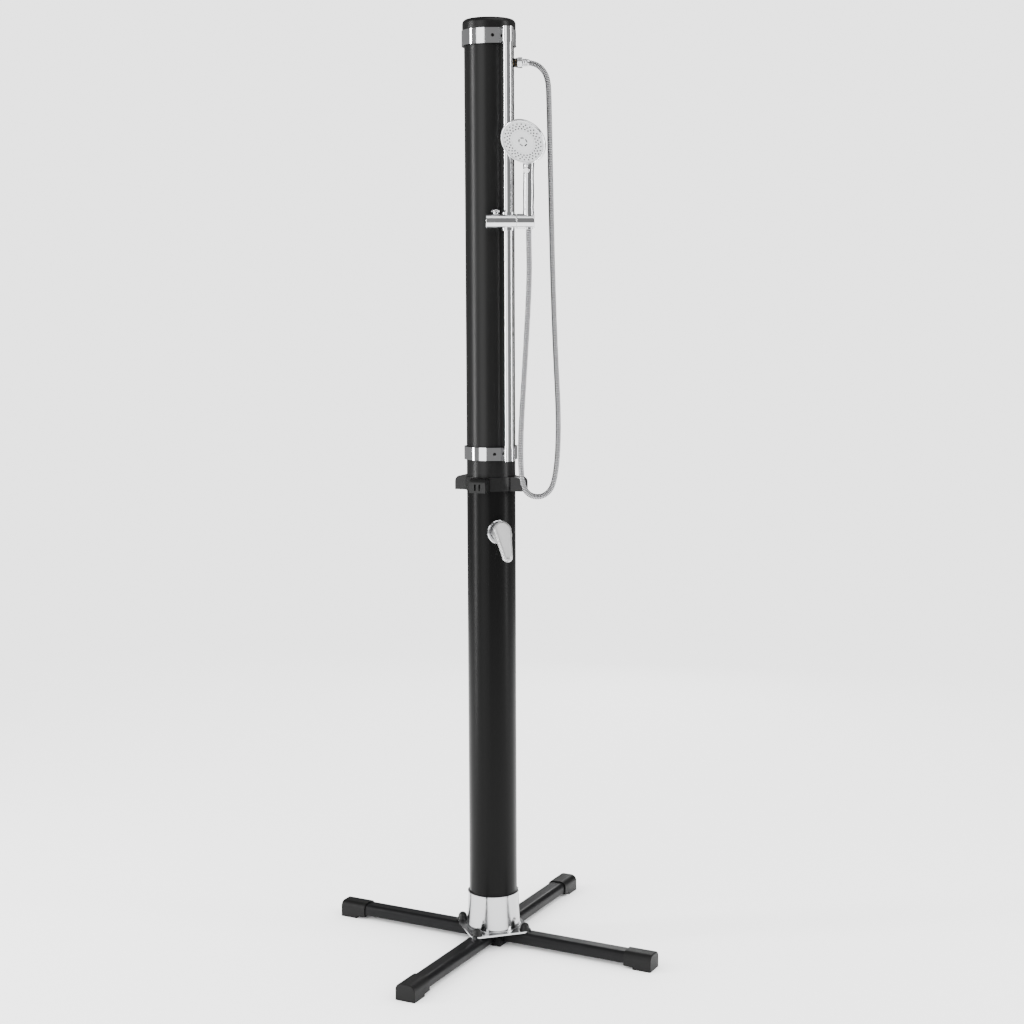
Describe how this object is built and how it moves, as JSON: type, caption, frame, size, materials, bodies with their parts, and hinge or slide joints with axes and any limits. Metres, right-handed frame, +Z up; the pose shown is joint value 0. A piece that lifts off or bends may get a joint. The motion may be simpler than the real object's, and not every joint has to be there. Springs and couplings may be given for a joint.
{
  "type": "outdoor shower post",
  "caption": "Free-standing outdoor shower: black tube post on a four-legged base, mixer lever, slide rail with an adjustable handset and its hose.",
  "frame": {"origin": "on the post's axis at the ground, under the middle of the four feet", "axes": "+Z up along the post, -Y the way the mixer's lever points, +X to its right seen from the front"},
  "size_m": [0.6274, 0.6274, 2.17],
  "materials": {
    "leg_paint": "satin",
    "foot_plastic": "matte",
    "base_chrome": "polished",
    "fastener_steel": "brushed",
    "screw_black": "satin",
    "nut_plastic": "gloss",
    "tube_black": "gloss",
    "cap_black": "satin",
    "collar_black": "satin",
    "inner_plastic": "matte",
    "seal_rubber": "matte",
    "rail_chrome": "polished",
    "saddle_plastic": "matte",
    "slider_chrome": "polished",
    "bush_plastic": "matte",
    "handset_chrome": "polished",
    "face_plastic": "satin",
    "nozzle_rubber": "matte",
    "fitting_brass": "machined",
    "hose_steel": "satin",
    "tap_chrome": "polished",
    "pipe_plastic": "matte"
  },
  "bodies": {
    "post": {"leg_front_left": "leg_paint", "leg_front_right": "leg_paint", "leg_rear_right": "leg_paint", "leg_rear_left": "leg_paint", "foot_cap_front_left": "foot_plastic", "foot_cap_front_right": "foot_plastic", "foot_cap_rear_right": "foot_plastic", "foot_cap_rear_left": "foot_plastic", "leg_hub": "leg_paint", "base_socket": "base_chrome", "flange_bolts": "fastener_steel", "dome_nuts": "nut_plastic", "socket_screws": "fastener_steel", "lower_tube": "tube_black", "upper_tube": "tube_black", "joint_spigot": "inner_plastic", "joint_seals": "seal_rubber", "top_cap": "cap_black", "tank_ends": "tube_black", "upper_band": "rail_chrome", "lower_band": "rail_chrome", "band_screws": "screw_black", "upper_saddle": "saddle_plastic", "lower_saddle": "saddle_plastic", "slide_rail": "rail_chrome", "rail_plugs": "rail_chrome", "outlet_elbow": "fitting_brass", "outlet_locknut": "cap_black", "outlet_seals": "seal_rubber", "outlet_ferrule": "fitting_brass", "hose": "hose_steel", "mixer_body": "fitting_brass", "mixer_cartridge": "inner_plastic", "cartridge_ring_nut": "fitting_brass", "mixer_rosette": "tap_chrome", "water_pipes": "pipe_plastic", "water_inlet": "fitting_brass", "inlet_elbow": "fitting_brass", "drain_plug": "foot_plastic", "inner_locknuts": "fitting_brass"},
    "collar": {"locking_collar": "collar_black"},
    "hose_nut": {"hose_nut": "tap_chrome"},
    "tap_spindle": {"tap_dome": "tap_chrome", "lever_pin": "fastener_steel"},
    "tap_lever": {"tap_lever": "tap_chrome"},
    "bush": {"slider_bush": "bush_plastic"},
    "slider": {"slider_body": "slider_chrome", "holder_pivot": "fastener_steel", "release_spring": "fastener_steel"},
    "release_button": {"release_knob": "slider_chrome"},
    "holder": {"handset_holder": "slider_chrome"},
    "hose_end": {"handset_ferrule": "fitting_brass"},
    "handset": {"handset_body": "handset_chrome", "spray_face": "face_plastic", "nozzle_mat": "nozzle_rubber", "spray_diffuser": "saddle_plastic", "hose_cone": "handset_chrome", "handset_washer": "seal_rubber"},
    "spray_button": {"push_button": "handset_chrome"}
  },
  "joints": [
    {"name": "slider_slide", "type": "slide", "parent": "post", "child": "bush", "axis": [0, 0, 1], "range_m": [-0.492, 0.373], "deforming": ["hose"]},
    {"name": "slider_swivel", "type": "hinge", "parent": "bush", "child": "slider", "pos_m": [0.01845, -0.0799, 1.712], "axis": [0, 0, 1], "range_deg": [0, 50]},
    {"name": "slider_button_press", "type": "slide", "parent": "slider", "child": "release_button", "axis": [0, 0, -1], "range_m": [0, 0.003], "stiffness_N_per_m": 800, "springref_m": -0.002, "deforming": ["release_spring"]},
    {"name": "holder_tilt", "type": "hinge", "parent": "slider", "child": "holder", "pos_m": [0.06113, -0.09877, 1.712], "axis": [0.9527, -0.304, 0], "range_deg": [0, 50]},
    {"name": "handset_lift", "type": "slide", "parent": "holder", "child": "hose_end", "axis": [-0.0318, -0.0996, 0.9945], "range_m": [0, 0.08]},
    {"name": "handset_spin", "type": "hinge", "parent": "hose_end", "child": "handset", "pos_m": [0.06113, -0.09877, 1.712], "axis": [-0.0318, -0.0996, 0.9945], "range_deg": [0, 150]},
    {"name": "spray_button_press", "type": "slide", "parent": "handset", "child": "spray_button", "axis": [0.6919, 0.7159, 0.0938], "range_m": [0, 0.0016], "stiffness_N_per_m": 800, "springref_m": -0.002},
    {"name": "lever_turn", "type": "hinge", "parent": "post", "child": "tap_spindle", "pos_m": [0, -0.076, 1.002], "axis": [0, -1, 0], "range_deg": [-45, 45]},
    {"name": "lever_lift", "type": "hinge", "parent": "tap_spindle", "child": "tap_lever", "pos_m": [0, -0.076, 1.002], "axis": [-1, 0, 0], "range_deg": [0, 12]},
    {"name": "collar_turn", "type": "hinge", "parent": "post", "child": "collar", "pos_m": [0, 0, 1.112], "axis": [0, 0, 1], "range_deg": [0, 30]},
    {"name": "hose_nut_spin", "type": "hinge", "parent": "post", "child": "hose_nut", "pos_m": [0.06313, -0.03025, 2.07], "axis": [0.9018, -0.4321, 0], "continuous": true}
  ]
}
